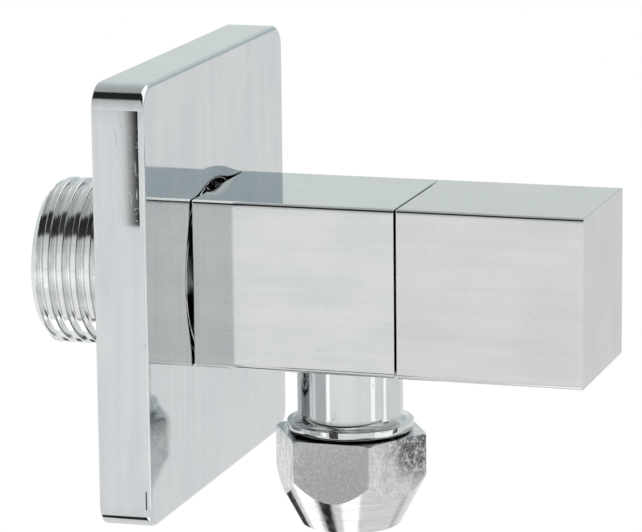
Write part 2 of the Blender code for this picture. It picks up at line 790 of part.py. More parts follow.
def outlet_nipple():
    """Stub in the body, neck that flares to a collar, and a threaded end with the tube's socket."""
    flare = NIPPLE_COLLAR - NIPPLE_NECK
    profile = [(NIPPLE_MOUTH, NIPPLE_END), (NIPPLE_ROOT, NIPPLE_END), (NIPPLE_ROOT, NIPPLE_COLLAR_END)]
    profile += [(NIPPLE_COLLAR - NIPPLE_COLLAR_EDGE, NIPPLE_COLLAR_END)]
    profile += [(NIPPLE_COLLAR, NIPPLE_COLLAR_END - NIPPLE_COLLAR_EDGE)]
    profile += arc((NIPPLE_COLLAR, NIPPLE_COLLAR_START - flare), flare, 90, 180, 4)
    profile += [(NIPPLE_NECK, NIPPLE_SHOULDER), (NIPPLE_STUB, NIPPLE_SHOULDER)]
    profile += [(NIPPLE_STUB, NIPPLE_TOP), (NIPPLE_BORE, NIPPLE_TOP)]
    profile += [(NIPPLE_BORE, TUBE_SOCKET_START), (TUBE_SOCKET, TUBE_SOCKET_START)]
    profile += [(TUBE_SOCKET, NIPPLE_END - NIPPLE_CONE)]
    nipple = turned("outlet_nipple", OUTLET_AXIS, profile, CHROME, ROUND_SMALL)
    inner = NIPPLE_ROOT - THREAD_BITE
    ridge = thread_ridge(
        "nipple_ridge",
        OUTLET_AXIS,
        inner,
        NIPPLE_CREST,
        (nipple_tooth(inner), nipple_tooth(NIPPLE_CREST)),
        NIPPLE_PITCH,
        NIPPLE_THREAD_START,
        NIPPLE_END,
    )
    rim = NIPPLE_CREST + 0.1 * MM
    chamfer = rim - NIPPLE_ROOT + 0.05 * MM
    low, high = NIPPLE_THREAD_START + 0.05 * MM, NIPPLE_END - 0.05 * MM
    limits = turned(
        "nipple_limits",
        OUTLET_AXIS,
        [
            (0, high),
            (rim - chamfer, high),
            (rim, high - chamfer),
            (rim, low + chamfer),
            (rim - chamfer, low),
            (0, low),
        ],
        facets=ROUND_SMALL,
    )
    return join(nipple, combine(ridge, "INTERSECT", limits))


def nipple_tooth(radius):
    return tooth_width(radius, NIPPLE_CREST, NIPPLE_ROOT, NIPPLE_PITCH, NIPPLE_PITCH / 8)


def olive():
    end = OLIVE_START + OLIVE_LENGTH
    profile = [(OLIVE_END_RADIUS, end), (OLIVE_MIDDLE_RADIUS, end - OLIVE_LENGTH * 0.4)]
    profile += [(OLIVE_MIDDLE_RADIUS, OLIVE_START + OLIVE_LENGTH * 0.4)]
    profile += [(OLIVE_END_RADIUS, OLIVE_START), (OLIVE_INNER, OLIVE_START), (OLIVE_INNER, end)]
    return turned("olive", OUTLET_AXIS, profile, BRASS, ROUND_SMALL)


def compression_nut():
    """A hexagon turned to a taper below, with two corners in the plane of the main axis."""
    nut = rod("compression_nut", OUTLET_AXIS, NUT_FLATS / math.sqrt(3), NUT_START, NUT_END, NUT_CHROME, 6)
    reach = NUT_FLATS / math.sqrt(3) + 0.4 * MM
    outline = turned(
        "nut_outline",
        OUTLET_AXIS,
        [
            (0, NUT_END + MM),
            (NUT_TIP - NUT_TAPER * MM, NUT_END + MM),
            (reach, NUT_END - (reach - NUT_TIP) / NUT_TAPER),
            (reach, NUT_START + NUT_TOP_CHAMFER * 0.6),
            (reach - NUT_TOP_CHAMFER, NUT_START),
            (reach - NUT_TOP_CHAMFER, NUT_START - MM),
            (0, NUT_START - MM),
        ],
        facets=ROUND_FINE,
    )
    combine(nut, "INTERSECT", outline)
    bore = turned(
        "nut_bore",
        OUTLET_AXIS,
        [
            (0, NUT_END + MM),
            (TUBE_HOLE, NUT_END + MM),
            (TUBE_HOLE, NUT_CONE_END),
            (NUT_CONE_TOP, NUT_CONE_START),
            (NUT_RELIEF, NUT_CONE_START - 0.4 * MM),
            (NUT_RELIEF, NUT_THREAD_END),
            (NUT_MINOR, NUT_THREAD_END),
            (NUT_MINOR, NUT_START + NUT_ENTRY),
            (NUT_MINOR + NUT_ENTRY, NUT_START),
            (NUT_MINOR + NUT_ENTRY, NUT_START - MM),
            (0, NUT_START - MM),
        ],
        facets=ROUND_SMALL,
    )
    inner, outer = NUT_MINOR - THREAD_BITE, NIPPLE_CREST + THREAD_GAP
    slack = 2 * THREAD_GAP
    groove = thread_ridge(
        "nut_groove",
        OUTLET_AXIS,
        inner,
        outer,
        (nipple_tooth(inner) + slack, nipple_tooth(outer) + slack),
        NIPPLE_PITCH,
        NIPPLE_THREAD_START - NIPPLE_PITCH,
        NUT_THREAD_END,
    )
    groove_end = NUT_THREAD_END + 0.2 * MM
    limits = rod("groove_limits", OUTLET_AXIS, reach, NUT_START - MM, groove_end)
    combine(groove, "INTERSECT", limits)
    return cut(nut, bore, groove)


def build_valve():
    wall_flange()
    flange_grip_ring()
    valve_body()
    seat_seal()
    fixed_disc()
    moving_disc()
    spindle()
    slip_washer()
    o_ring("spindle_o_ring_inner", LOWER_SEAL_AT)
    o_ring("spindle_o_ring_outer", UPPER_SEAL_AT)
    cartridge_housing()
    housing_gasket()
    spindle_circlip()
    spline_adaptor()
    handle()
    handle_set_screw()
    outlet_nipple()
    olive()
    compression_nut()


build_valve()
bpy.context.view_layer.update()
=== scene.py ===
"""Looks of the square angle stop valve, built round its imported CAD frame.

Metres, +Z up, room on the -Y side. Pieces on the main axis are drawn as (x, up, out), where out is
the distance from the wall, and pieces on the outlet as (x, room, down), where down is the distance
below the main axis.
"""

import math

import bmesh
import bpy
from mathutils import Matrix, Vector


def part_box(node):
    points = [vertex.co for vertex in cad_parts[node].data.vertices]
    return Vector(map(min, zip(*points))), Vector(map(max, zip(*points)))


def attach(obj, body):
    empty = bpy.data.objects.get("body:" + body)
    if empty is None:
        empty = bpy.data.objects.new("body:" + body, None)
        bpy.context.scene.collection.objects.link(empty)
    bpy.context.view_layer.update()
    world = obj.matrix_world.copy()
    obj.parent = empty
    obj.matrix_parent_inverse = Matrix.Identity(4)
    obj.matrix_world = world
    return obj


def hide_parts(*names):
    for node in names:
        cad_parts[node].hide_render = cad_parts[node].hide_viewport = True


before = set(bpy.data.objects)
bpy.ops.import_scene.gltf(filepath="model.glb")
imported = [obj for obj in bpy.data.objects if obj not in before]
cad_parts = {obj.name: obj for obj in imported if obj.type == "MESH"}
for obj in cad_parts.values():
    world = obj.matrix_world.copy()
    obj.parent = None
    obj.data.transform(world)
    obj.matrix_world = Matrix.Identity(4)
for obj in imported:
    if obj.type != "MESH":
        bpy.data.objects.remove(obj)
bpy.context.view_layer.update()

MM = 0.001

# Positions read from the frame
FLANGE_LOW, FLANGE_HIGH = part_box("wall_flange")
BODY_LOW, BODY_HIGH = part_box("valve_body")
HANDLE_LOW, HANDLE_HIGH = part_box("handle")
NIPPLE_LOW, NIPPLE_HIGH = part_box("outlet_nipple")
OLIVE_LOW, OLIVE_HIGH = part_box("olive")
NUT_LOW, NUT_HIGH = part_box("compression_nut")
RING_LOW, RING_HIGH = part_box("flange_grip_ring")
AXIS_Z = (FLANGE_LOW.z + FLANGE_HIGH.z) / 2
OUTLET_Y = (NIPPLE_LOW.y + NIPPLE_HIGH.y) / 2

# Wall flange
FLANGE_HALF = (FLANGE_HIGH.x - FLANGE_LOW.x) / 2
FLANGE_DEPTH = FLANGE_HIGH.y - FLANGE_LOW.y
FLANGE_SKIN = 1.2 * MM
FLANGE_CORNER = 3.0 * MM
FLANGE_EDGE = 0.65 * MM
FLANGE_HOLE = 11.2 * MM
DISH_WIDTH = 3.3 * MM
DISH_DEPTH = 0.5 * MM
FLANGE_SLEEVE_END = 3.6 * MM
FLANGE_RIM = 0.15 * MM
FLANGE_FILLET = 0.5 * MM
GRIP_RING_INNER = 10.85 * MM
GRIP_RING_EDGE = 0.35 * MM

# Body block, inlet and handle
BLOCK_HALF = (HANDLE_HIGH.x - HANDLE_LOW.x) / 2
BODY_REAR = FLANGE_DEPTH + 0.15 * MM
BODY_FRONT = -BODY_LOW.y
BODY_EDGE = 0.75 * MM
INLET_LENGTH = BODY_HIGH.y
INLET_PITCH = 1.814 * MM
INLET_CREST = 10.478 * MM
INLET_ROOT = 9.70 * MM
INLET_SHARES = (0.4, 0.12)
INLET_THREAD_END = 4.6 * MM
INLET_CHAMFER = 0.25 * MM
INLET_LIP = 0.35 * MM
INLET_BORE = 6.25 * MM
INLET_BORE_END = 11.5 * MM
SEAT_BORE = 4.6 * MM
SEAT = 14.5 * MM
CHAMBER = 7.6 * MM
CHAMBER_END = 27.9 * MM
HOUSING_SOCKET = 8.0 * MM
HANDLE_REAR = -HANDLE_HIGH.y
HANDLE_END = -HANDLE_LOW.y
HANDLE_EDGE = 0.65 * MM
FACE_EDGE = 0.15 * MM
HANDLE_CAVITY = 9.2 * MM
HANDLE_CAVITY_END = 37.3 * MM
HANDLE_BORE = 6.3 * MM
HANDLE_BORE_END = 50.0 * MM
SCREW_AT = 45.2 * MM
SCREW_HOLE = 2.3 * MM
SCREW_HOLE_RIM = 0.25 * MM

# Outlet, measured down from the main axis
OUTLET_BORE = 4.25 * MM
OUTLET_BORE_START = 3.0 * MM
NIPPLE_SOCKET = 5.5 * MM
NIPPLE_SOCKET_START = 8.1 * MM
NIPPLE_TOP = AXIS_Z - NIPPLE_HIGH.z
NIPPLE_END = AXIS_Z - NIPPLE_LOW.z
NIPPLE_STUB = 5.2 * MM
NIPPLE_SHOULDER = BLOCK_HALF + 0.15 * MM
NIPPLE_NECK = 6.6 * MM
NIPPLE_COLLAR = 7.9 * MM
COLLAR_START = 18.4 * MM
COLLAR_END = 19.5 * MM
COLLAR_EDGE = 0.4 * MM
NIPPLE_THREAD_START = 20.4 * MM
NIPPLE_PITCH = 1.5 * MM
NIPPLE_CREST = 6.9 * MM
NIPPLE_ROOT = 6.05 * MM
NIPPLE_SHARES = (0.13, 0.13)
NIPPLE_BORE = 3.8 * MM
TUBE_SOCKET = 5.2 * MM
TUBE_SOCKET_START = 21.1 * MM
NIPPLE_MOUTH = 5.7 * MM
NIPPLE_MOUTH_DEPTH = 1.4 * MM
OLIVE_START = AXIS_Z - OLIVE_HIGH.z
OLIVE_END = AXIS_Z - OLIVE_LOW.z
OLIVE_INNER = 5.1 * MM
OLIVE_RIM = 5.45 * MM
OLIVE_SWELL = 0.5 * MM
NUT_START = AXIS_Z - NUT_HIGH.z
NUT_END = AXIS_Z - NUT_LOW.z
NUT_CORNER = 17.0 * MM / math.sqrt(3)
NUT_TIP = 6.3 * MM
NUT_TAPER = 0.52
NUT_TOP_CHAMFER = 0.8 * MM
NUT_EDGE = 0.12 * MM
NUT_MINOR = 6.3 * MM
NUT_ENTRY = 0.9 * MM
NUT_RELIEF = 7.25 * MM
NUT_SHARES = (0.3, 0.3)
NUT_THREAD_END = 26.7 * MM
NUT_CONE_START = 27.9 * MM
NUT_CONE_END = 30.6 * MM
NUT_CONE_TOP = 6.9 * MM
TUBE_HOLE = 5.25 * MM
TUBE_HOLE_CHAMFER = 0.25 * MM
THREAD_GAP = 0.14 * MM
RUN_OUT = 0.05 * MM

# Facets round a full turn, and steps along one
ROUND = 144
ROUND_HIDDEN = 96
HELIX_ROWS = 24
SIDE_STEPS = 24
CORNER_STEPS = 6

VALVE_AXIS = Matrix.Translation((0, 0, AXIS_Z)) @ Matrix.Rotation(math.pi / 2, 4, "X")
OUTLET_AXIS = Matrix.Translation((0, OUTLET_Y, AXIS_Z)) @ Matrix.Rotation(math.pi, 4, "X")


# Mesh building


def linked(name, shape):
    """A new object in the scene that takes the bmesh over as its mesh."""
    mesh = bpy.data.meshes.new(name)
    shape.to_mesh(mesh)
    shape.free()
    obj = bpy.data.objects.new(name, mesh)
    bpy.context.scene.collection.objects.link(obj)
    return obj


def mesh_object(name, shape, axis):
    """A cleaned-up piece, moved from its own axis to its place."""
    bmesh.ops.remove_doubles(shape, verts=shape.verts, dist=1e-6)
    bmesh.ops.dissolve_degenerate(shape, edges=shape.edges, dist=1e-7)
    bmesh.ops.recalc_face_normals(shape, faces=shape.faces)
    shape.transform(axis)
    return linked(name, shape)


def skin(shape, loops, close=False):
    """Quads between loops of equal length. With close, the last loop joins the first."""
    rows = [[shape.verts.new(point) for point in loop] for loop in loops]
    following = rows[1:] + rows[:1] if close else rows[1:]
    for near, far in zip(rows, following):
        for i in range(len(near)):
            j = (i + 1) % len(near)
            shape.faces.new((near[i], near[j], far[j], far[i]))
    return rows


def circle(radius, height, facets=ROUND):
    angles = [math.tau * i / facets for i in range(facets)]
    return [(radius * math.cos(a), radius * math.sin(a), height) for a in angles]


def arc(centre, radius, start_angle, end_angle, steps):
    """Points of an arc in a profile's (radius, height) plane, angles in degrees."""
    points = []
    for i in range(steps + 1):
        angle = math.radians(start_angle + (end_angle - start_angle) * i / steps)
        points.append((centre[0] + radius * math.cos(angle), centre[1] + radius * math.sin(angle)))
    return points


def spun(shape, profile, close=False, facets=ROUND):
    """A skin turned from a (radius, height) profile. A point on the axis closes its end."""
    skin(shape, [circle(max(radius, 1e-9), height, facets) for radius, height in profile], close)


def turned(name, axis, profile, close=False, facets=ROUND):
    shape = bmesh.new()
    spun(shape, profile, close, facets)
    return mesh_object(name, shape, axis)


def tooth(phase, crest_share, root_share):
    """Height of a thread's tooth, 0 at the root to 1 at the crest, rounded at its corners. The
    shares are how much of the pitch is flat crest and flat root."""
    total = 0
    flank = (1 - crest_share - root_share) / 2
    for shift in (-0.03, -0.015, 0, 0.015, 0.03):
        away = abs((phase + shift) % 1 - 0.5)
        total += min(1, max(0, (0.5 - root_share / 2 - away) / flank))
    return total / 5


def helix(shape, pitch, radii, shares, span, limit, origin=0, facets=ROUND):
    """A thread as a skin whose rows run along the helix. radii are (root, crest), shares as in
    tooth, span is (start, end). limit(height) is the largest radius there, and is at most the
    root at both ends, where the rows meet in a circle. A crest passes origin plus half a pitch."""
    root, crest = radii
    start, end = span
    first = math.floor((start - origin) / pitch) - 1
    last = (math.ceil((end - start) / pitch) + 3) * HELIX_ROWS
    points = []
    for line in range(last + 1):
        row = []
        for i in range(facets):
            height = origin + (first + line / HELIX_ROWS + i / facets) * pitch
            height = min(end, max(start, height))
            radius = min(root + (crest - root) * tooth(line / HELIX_ROWS, *shares), limit(height))
            angle = math.tau * i / facets
            spot = (radius * math.cos(angle), radius * math.sin(angle), height)
            row.append(shape.verts.new(spot))
        points.append(row)
    for line in range(last):
        for i in range(facets):
            j, turn = (i + 1, 0) if i + 1 < facets else (0, HELIX_ROWS)
            near, far = points[line], points[min(last, line + turn)]
            further = points[min(last, line + 1 + turn)]
            corners = list(dict.fromkeys((near[i], far[j], further[j], points[line + 1][i])))
            if len(corners) > 2:
                shape.faces.new(corners)


def chamfered(crest, start, end, low, high):
    """A thread's radius limit: low at its start and high at its end, 45 degrees up to the crest."""

    def limit(height):
        return min(crest, low + height - start, high + end - height)

    return limit


def bake(obj):
    """Replaces the object's mesh by its shape after its modifiers."""
    bpy.context.view_layer.update()
    graph = bpy.context.evaluated_depsgraph_get()
    mesh = bpy.data.meshes.new_from_object(obj.evaluated_get(graph))
    old = obj.data
    obj.modifiers.clear()
    obj.data = mesh
    bpy.data.meshes.remove(old)
    return obj


def combine(obj, operation, *tools):
    for tool in tools:
        boolean = obj.modifiers.new(operation.lower(), "BOOLEAN")
        boolean.operation = operation
        boolean.object = tool
        bake(obj)
        bpy.data.objects.remove(tool)
    return obj


def rounded_block(name, rear, front, edge):
    """A square block from rear to front: long edges rounded by edge, those at its ends crisper."""
    shape = bmesh.new()
    size = Matrix.Diagonal((2 * BLOCK_HALF, 2 * BLOCK_HALF, front - rear, 1))
    place = Matrix.Translation((0, 0, (rear + front) / 2)) @ size
    bmesh.ops.create_cube(shape, size=1, matrix=place)
    weight = shape.edges.layers.float.new("bevel_weight_edge")
    for side in shape.edges:
        near, far = (vertex.co.z for vertex in side.verts)
        side[weight] = FACE_EDGE / edge if abs(near - far) < 1e-6 else 1.0
    block = mesh_object(name, shape, VALVE_AXIS)
    rounding = block.modifiers.new("rounding", "BEVEL")
    rounding.limit_method = "WEIGHT"
    rounding.width = edge
    rounding.segments = 5
    return bake(block)


def smoothed(obj, angle=30):
    """Smooth shading that leaves flat faces flat and folds sharper than the angle crisp."""
    obj.data.shade_smooth()
    obj.data.set_sharp_from_angle(angle=math.radians(angle))
    weighted = obj.modifiers.new("flat_faces", "WEIGHTED_NORMAL")
    weighted.keep_sharp = True
    weighted.weight = 100
    return obj


def fitted(obj, body, nodes, material):
    """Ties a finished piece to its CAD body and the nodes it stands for."""
    obj.data.materials.clear()
    obj.data.materials.append(material)
    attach(obj, body)
    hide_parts(*nodes)
    return obj


# Node materials


class Net:
    """Adds nodes to a node tree. An input is a value or another node's output."""

    def __init__(self, tree):
        self.tree = tree
        tree.nodes.clear()

    def add(self, kind, inputs=None, **settings):
        node = self.tree.nodes.new(kind)
        for key, value in settings.items():
            setattr(node, key, value)
        for key, value in (inputs or {}).items():
            if isinstance(value, bpy.types.NodeSocket):
                self.tree.links.new(value, node.inputs[key])
            else:
                node.inputs[key].default_value = value
        return node

    def math(self, operation, a, b=0.0):
        return self.add("ShaderNodeMath", {0: a, 1: b}, operation=operation).outputs[0]

    def vector_math(self, operation, a, b):
        return self.add("ShaderNodeVectorMath", {0: a, 1: b}, operation=operation)

    def noise(self, where, scale, detail=2.0, roughness=0.5):
        inputs = {"Vector": where, "Scale": scale, "Detail": detail, "Roughness": roughness}
        return self.add("ShaderNodeTexNoise", inputs).outputs["Fac"]

    def stretched(self, where, scale, turn=(0, 0, 0)):
        inputs = {"Vector": where, "Scale": scale, "Rotation": [math.radians(t) for t in turn]}
        return self.add("ShaderNodeMapping", inputs).outputs[0]

    def between(self, value, low, high, out_low=0.0, out_high=1.0):
        """A smooth step from out_low to out_high as the value goes from low to high."""
        inputs = {"Value": value, "From Min": low, "From Max": high}
        inputs.update({"To Min": out_low, "To Max": out_high})
        node = self.add("ShaderNodeMapRange", inputs, interpolation_type="SMOOTHSTEP", clamp=True)
        return node.outputs[0]

    def mix_value(self, factor, a, b):
        return self.add("ShaderNodeMix", {"Factor": factor, 2: a, 3: b}).outputs[0]

    def mix(self, factor, a, b):
        inputs = {"Factor": factor, 6: a, 7: b}
        return self.add("ShaderNodeMix", inputs, data_type="RGBA").outputs[2]

    def millimetres(self):
        where = self.add("ShaderNodeTexCoord").outputs["Object"]
        return self.vector_math("MULTIPLY", where, (1000, 1000, 1000)).outputs[0]


def new_material(name):
    material = bpy.data.materials.new(name)
    material.use_nodes = True
    return material, Net(material.node_tree)


def surface(net, colour, roughness, height, relief, metallic=0.0, coat=0.0):
    """The Principled shader: relief is how many metres a height of 1 stands."""
    bump = net.add("ShaderNodeBump", {"Strength": 1.0, "Distance": relief, "Height": height})
    inputs = {
        "Base Color": colour,
        "Metallic": metallic,
        "Roughness": roughness,
        "IOR": 1.5,
        "Normal": bump.outputs[0],
        "Coat Weight": coat,
    }
    shader = net.add("ShaderNodeBsdfPrincipled", inputs)
    out = net.add("ShaderNodeOutputMaterial")
    net.tree.links.new(shader.outputs[0], out.inputs[0])


def along(axis, long_scale, cross_scale):
    """A scale that draws a texture out along one axis, x, y or z."""
    return [long_scale if name == axis else cross_scale for name in "xyz"]


def scratches(net, where, axis, turn, fineness=5.0, length=0.12, limit=0.62):
    """Fine broken lines near one axis, in patches: 1 on a line and 0 elsewhere."""
    turned_where = net.stretched(where, (1, 1, 1), turn)
    lines = net.noise(net.stretched(turned_where, along(axis, length, fineness)), 1.0, 3.0, 0.6)
    patches = net.noise(where, 0.16, 2.0)
    lines = net.between(lines, limit, limit + 0.1)
    return net.math("MULTIPLY", lines, net.between(patches, 0.42, 0.62))


def chrome(name, brush, light, dark, base=0.035, haze=0.05, wave=1.0):
    """Polished chrome with polishing haze, wipe marks along brush, hairline scratches and pits."""
    material, net = new_material(name)
    where = net.millimetres()
    haze_map = net.noise(where, 0.11, 4.0, 0.6)
    wipe = net.noise(net.stretched(where, along(brush, 0.05, 0.9)), 1.0, 4.0, 0.6)
    grain = net.noise(where, 5.0, 3.0, 0.7)
    pits = net.between(net.noise(where, 1.7, 2.0, 0.5), 0.70, 0.76)
    straight = scratches(net, where, brush, (4, 3, 5))
    stray = scratches(net, where, "x", (20, 35, 70), 7.0, 0.2, 0.64)
    lines = net.math("MAXIMUM", straight, stray)
    tone = net.between(net.mix_value(0.5, haze_map, wipe), 0.36, 0.64)
    colour = net.mix(tone, (*dark, 1), (*light, 1))
    colour = net.mix(net.math("MULTIPLY", pits, 0.35), colour, (0.30, 0.31, 0.33, 1))
    rough = net.math("ADD", base, net.math("MULTIPLY", net.between(haze_map, 0.4, 0.7), haze))
    rough = net.math("ADD", rough, net.math("MULTIPLY", lines, 0.16))
    rough = net.math("ADD", rough, net.math("MULTIPLY", grain, 0.03))
    swell = net.noise(net.stretched(where, along(brush, 0.05, 0.14)), 1.0, 1.0)
    height = net.math("MULTIPLY", swell, 4.0 * wave)
    height = net.math("ADD", height, net.math("MULTIPLY", lines, -0.25))
    height = net.math("ADD", height, net.math("MULTIPLY", grain, 0.045))
    height = net.math("ADD", height, net.math("MULTIPLY", pits, -0.5))
    height = net.math("ADD", height, net.math("MULTIPLY", wipe, 0.06))
    surface(net, colour, rough, height, 4e-6, metallic=1.0)
    return material


def milled_chrome():
    """The nut's hexagon: chrome over rough brass, mottled, with fine pits, painted highlight specks
    and a painted dark reflection.
    """
    material, net = new_material("nut_flat_chrome")
    where = net.millimetres()
    mottle = net.noise(net.stretched(where, (0.9, 0.9, 0.7)), 1.0, 6.0, 0.72)
    speckle = net.noise(where, 3.0, 4.0, 0.75)
    drag = net.noise(net.stretched(where, (0.5, 0.5, 3.0)), 1.0, 3.0, 0.6)
    nicks = net.between(net.noise(where, 2.0, 3.0, 0.6), 0.66, 0.72)
    # Painted highlight: thin bright glints painted into the colour.
    painted_glints = net.math("ABSOLUTE", net.math("SUBTRACT", net.noise(where, 0.9, 3.0, 0.7), 0.5))
    painted_glints = net.between(painted_glints, 0.012, 0.004)
    painted_glints = net.math("MULTIPLY", painted_glints, net.between(mottle, 0.45, 0.6))
    tone = net.mix_value(0.5, mottle, speckle)
    colour = net.between(tone, 0.40, 0.60)
    colour = net.mix(colour, (0.44, 0.445, 0.455, 1), (0.64, 0.645, 0.65, 1))
    colour = net.mix(net.math("MULTIPLY", nicks, 0.6), colour, (0.2, 0.2, 0.21, 1))
    colour = net.mix(net.math("MULTIPLY", painted_glints, 0.6), colour, (0.86, 0.86, 0.86, 1))
    # Painted dark reflection: a near-black patch painted at the top of one flat.
    away = net.vector_math("DISTANCE", where, (-1.3, -32.6, 6.2)).outputs["Value"]
    painted_dark_reflection = net.math("MULTIPLY", net.between(away, 6.0, 2.6), net.between(tone, 0.60, 0.44))
    colour = net.mix(net.math("MULTIPLY", painted_dark_reflection, 0.95), colour, (0.09, 0.09, 0.095, 1))
    rough = net.between(tone, 0.38, 0.62, 0.34, 0.20)
    height = net.math("ADD", net.math("MULTIPLY", mottle, 2.6), net.math("MULTIPLY", speckle, 1.1))
    height = net.math("ADD", height, net.math("MULTIPLY", drag, 0.8))
    height = net.math("ADD", height, net.math("MULTIPLY", nicks, -0.8))
    surface(net, colour, rough, height, 1.5e-5, metallic=1.0)
    return material


def turned_chrome():
    """The nut's taper, chamfer and bore: chrome over brass turned with fine level rings."""
    material, net = new_material("nut_turned_chrome")
    where = net.millimetres()
    rings = net.noise(net.stretched(where, (0.03, 0.03, 6.5)), 1.0, 5.0, 0.75)
    broken = net.noise(net.stretched(where, (0.7, 0.7, 6.0)), 1.0, 3.0, 0.6)
    mottle = net.noise(where, 1.1, 4.0, 0.6)
    lines = net.mix_value(0.4, rings, broken)
    colour = net.between(lines, 0.38, 0.62)
    colour = net.mix(colour, (0.54, 0.545, 0.555, 1), (0.70, 0.705, 0.71, 1))
    rough = net.between(mottle, 0.35, 0.65, 0.09, 0.17)
    height = net.math("ADD", lines, net.math("MULTIPLY", mottle, 0.8))
    surface(net, colour, rough, height, 7e-6, metallic=1.0)
    return material


def turned_metal(name, light, dark, base, axis_scale):
    """Turned metal: fine rings across the given axis, rough patches and specks."""
    material, net = new_material(name)
    where = net.millimetres()
    rings = net.noise(net.stretched(where, axis_scale), 1.0, 4.0, 0.7)
    patches = net.noise(where, 0.35, 4.0, 0.6)
    specks = net.between(net.noise(where, 2.6, 3.0, 0.6), 0.66, 0.74)
    tone = net.between(net.math("ADD", rings, patches), 0.8, 1.2)
    colour = net.mix(tone, (*dark, 1), (*light, 1))
    colour = net.mix(net.math("MULTIPLY", specks, 0.5), colour, (*[c * 0.4 for c in dark], 1))
    rough = net.math("ADD", base, net.math("MULTIPLY", patches, 0.2))
    height = net.math("ADD", rings, net.math("MULTIPLY", specks, -0.6))
    surface(net, colour, rough, height, 8e-6, metallic=1.0)
    return material


def matt(name, light, dark, base, grain_scale, relief, spread=0.15, coat=0.0):
    """Rubber, fibre, nylon or fired ceramic: cloudy tone, fine grain and scuffed patches."""
    material, net = new_material(name)
    where = net.millimetres()
    cloud = net.noise(where, 0.45, 4.0, 0.6)
    grain = net.noise(where, grain_scale, 5.0, 0.7)
    scuffs = scratches(net, where, "x", (0, 0, 40), 4.0, 0.3, 0.58)
    tone = net.between(net.math("ADD", cloud, net.math("MULTIPLY", grain, 0.5)), 0.55, 0.95)
    colour = net.mix(tone, (*dark, 1), (*light, 1))
    rough = net.math("ADD", base, net.math("MULTIPLY", net.math("SUBTRACT", grain, 0.5), spread))
    rough = net.math("ADD", rough, net.math("MULTIPLY", scuffs, -0.12))
    height = net.math("ADD", grain, net.math("MULTIPLY", scuffs, -0.3))
    surface(net, colour, rough, height, relief, coat=coat)
    return material


CHROME_FLANGE = chrome("flange_chrome", "z", (0.625, 0.64, 0.645), (0.565, 0.585, 0.60))
CHROME_BODY = chrome("body_chrome", "y", (0.64, 0.655, 0.645), (0.585, 0.60, 0.60))
CHROME_HANDLE = chrome("handle_chrome", "y", (0.62, 0.63, 0.615), (0.57, 0.58, 0.575))
# The handle's end face: a darker copy of the handle chrome, as painted shade.
CHROME_END_PAINTED_SHADE = chrome("handle_end_chrome_painted_shade", "z", (0.52, 0.53, 0.525), (0.46, 0.475, 0.475))
# The inlet thread: rougher than the body's chrome, and lighter in colour as painted light.
CHROME_INLET_PAINTED_LIGHT = chrome(
    "inlet_chrome_painted_light", "y", (0.82, 0.83, 0.83), (0.70, 0.71, 0.71), base=0.06, haze=0.08, wave=0.3
)
CHROME_NIPPLE = chrome(
    "nipple_chrome", "z", (0.64, 0.655, 0.65), (0.58, 0.595, 0.60), base=0.04, haze=0.04, wave=0.3
)
NUT_FLATS = milled_chrome()
NUT_TURNED = turned_chrome()
BRASS_ALONG_Y = turned_metal(
    "cartridge_brass", (0.80, 0.62, 0.34), (0.58, 0.42, 0.20), 0.2, (0.05, 6, 0.05)
)
BRASS_OLIVE = turned_metal(
    "olive_brass", (0.84, 0.66, 0.36), (0.60, 0.44, 0.21), 0.16, (0.05, 0.05, 7)
)
STEEL = turned_metal("screw_steel", (0.50, 0.51, 0.53), (0.30, 0.31, 0.33), 0.25, (4, 4, 0.1))
RUBBER = matt("seal_rubber", (0.045, 0.045, 0.047), (0.018, 0.018, 0.019), 0.62, 3.0, 1.5e-5)
FIBRE = matt("gasket_fibre", (0.50, 0.15, 0.10), (0.30, 0.07, 0.05), 0.78, 2.2, 3e-5)
CERAMIC_GRAIN = {"grain_scale": 6.0, "relief": 2e-6, "spread": 0.08, "coat": 0.2}
WHITE_CERAMIC = matt(
    "fixed_disc_ceramic", (0.90, 0.89, 0.85), (0.78, 0.77, 0.72), 0.2, **CERAMIC_GRAIN
)
GREY_CERAMIC = matt(
    "moving_disc_ceramic", (0.36, 0.37, 0.39), (0.22, 0.23, 0.25), 0.18, **CERAMIC_GRAIN
)
NYLON = matt("bush_nylon", (0.88, 0.88, 0.85), (0.72, 0.72, 0.69), 0.42, 2.5, 8e-6)


# Pieces


def square_loop(half, corner, height):
    """A square with rounded corners, as many points as in matching_circle."""
    points = []
    inner = half - corner
    for quarter in range(4):
        turn = Matrix.Rotation(quarter * math.pi / 2, 2)
        along_side = [2 * inner * i / SIDE_STEPS - inner for i in range(SIDE_STEPS + 1)]
        line = [Vector((half, place)) for place in along_side]
        for i in range(1, CORNER_STEPS):
            angle = math.pi / 2 * i / CORNER_STEPS
            x, y = inner + corner * math.cos(angle), inner + corner * math.sin(angle)
            line.append(Vector((x, y)))
        points += [(*(turn @ point), height) for point in line]
    return points


def matching_circle(radius, height):
    """A circle whose points face those of square_loop: 80 degrees to a side, 10 to a corner."""
    points = []
    for quarter in range(4):
        angles = [-40 + 80 * i / SIDE_STEPS for i in range(SIDE_STEPS + 1)]
        angles += [40 + 10 * i / CORNER_STEPS for i in range(1, CORNER_STEPS)]
        for degrees in angles:
            angle = math.radians(degrees + 90 * quarter)
            points.append((radius * math.cos(angle), radius * math.sin(angle), height))
    return points


